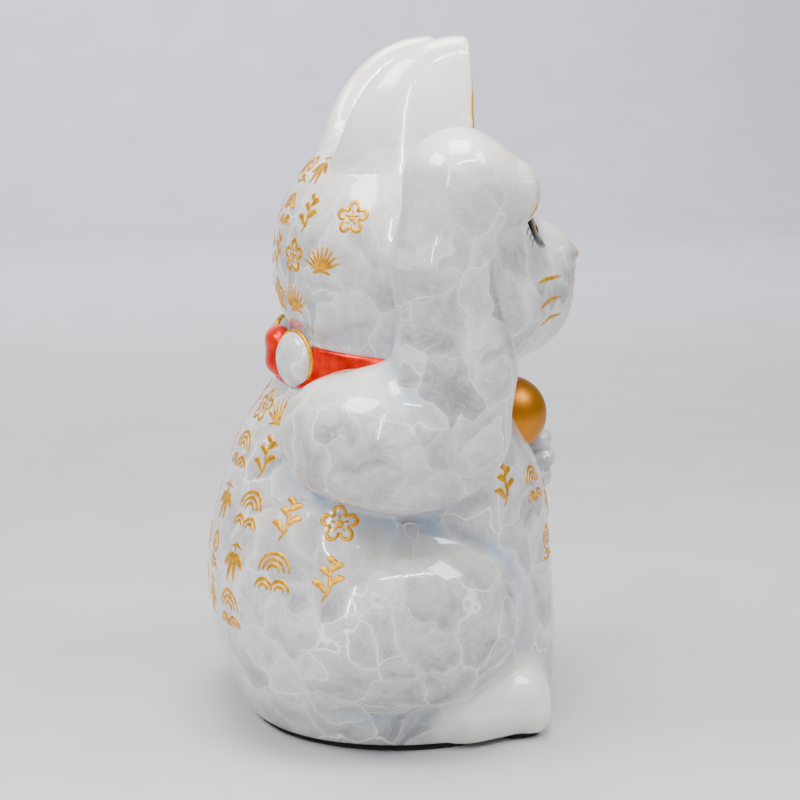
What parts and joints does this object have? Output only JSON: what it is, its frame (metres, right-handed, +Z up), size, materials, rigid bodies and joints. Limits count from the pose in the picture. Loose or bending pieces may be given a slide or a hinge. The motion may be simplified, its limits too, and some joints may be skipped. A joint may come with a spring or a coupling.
{
  "type": "beckoning cat figurine",
  "caption": "Seated porcelain beckoning cat with its right paw raised beside the ear, a crystalline pale glaze, a red collar with a bow at the nape and a gold bell under the chin.",
  "frame": {"origin": "middle of the felt under the foot, on the plane that the figurine stands on", "axes": "+Z is up, the cat faces -Y and its raised right arm is on the -X side"},
  "size_m": [0.1351, 0.1158, 0.21],
  "materials": {
    "crystal_glaze": "gloss",
    "red_enamel": "gloss",
    "gold_enamel": "gloss",
    "black_enamel": "gloss",
    "black_felt": "matte"
  },
  "bodies": {
    "root": {"body_shell": "crystal_glaze", "head_shell": "crystal_glaze", "right_ear": "crystal_glaze", "left_ear": "crystal_glaze", "raised_arm": "crystal_glaze", "lowered_arm": "crystal_glaze", "right_foot": "crystal_glaze", "left_foot": "crystal_glaze", "tail": "crystal_glaze", "collar": "red_enamel", "bow_knot": "red_enamel", "bow_loop_right": "crystal_glaze", "bow_loop_left": "crystal_glaze", "bell": "gold_enamel", "felt_pad": "black_felt"}
  },
  "joints": []
}
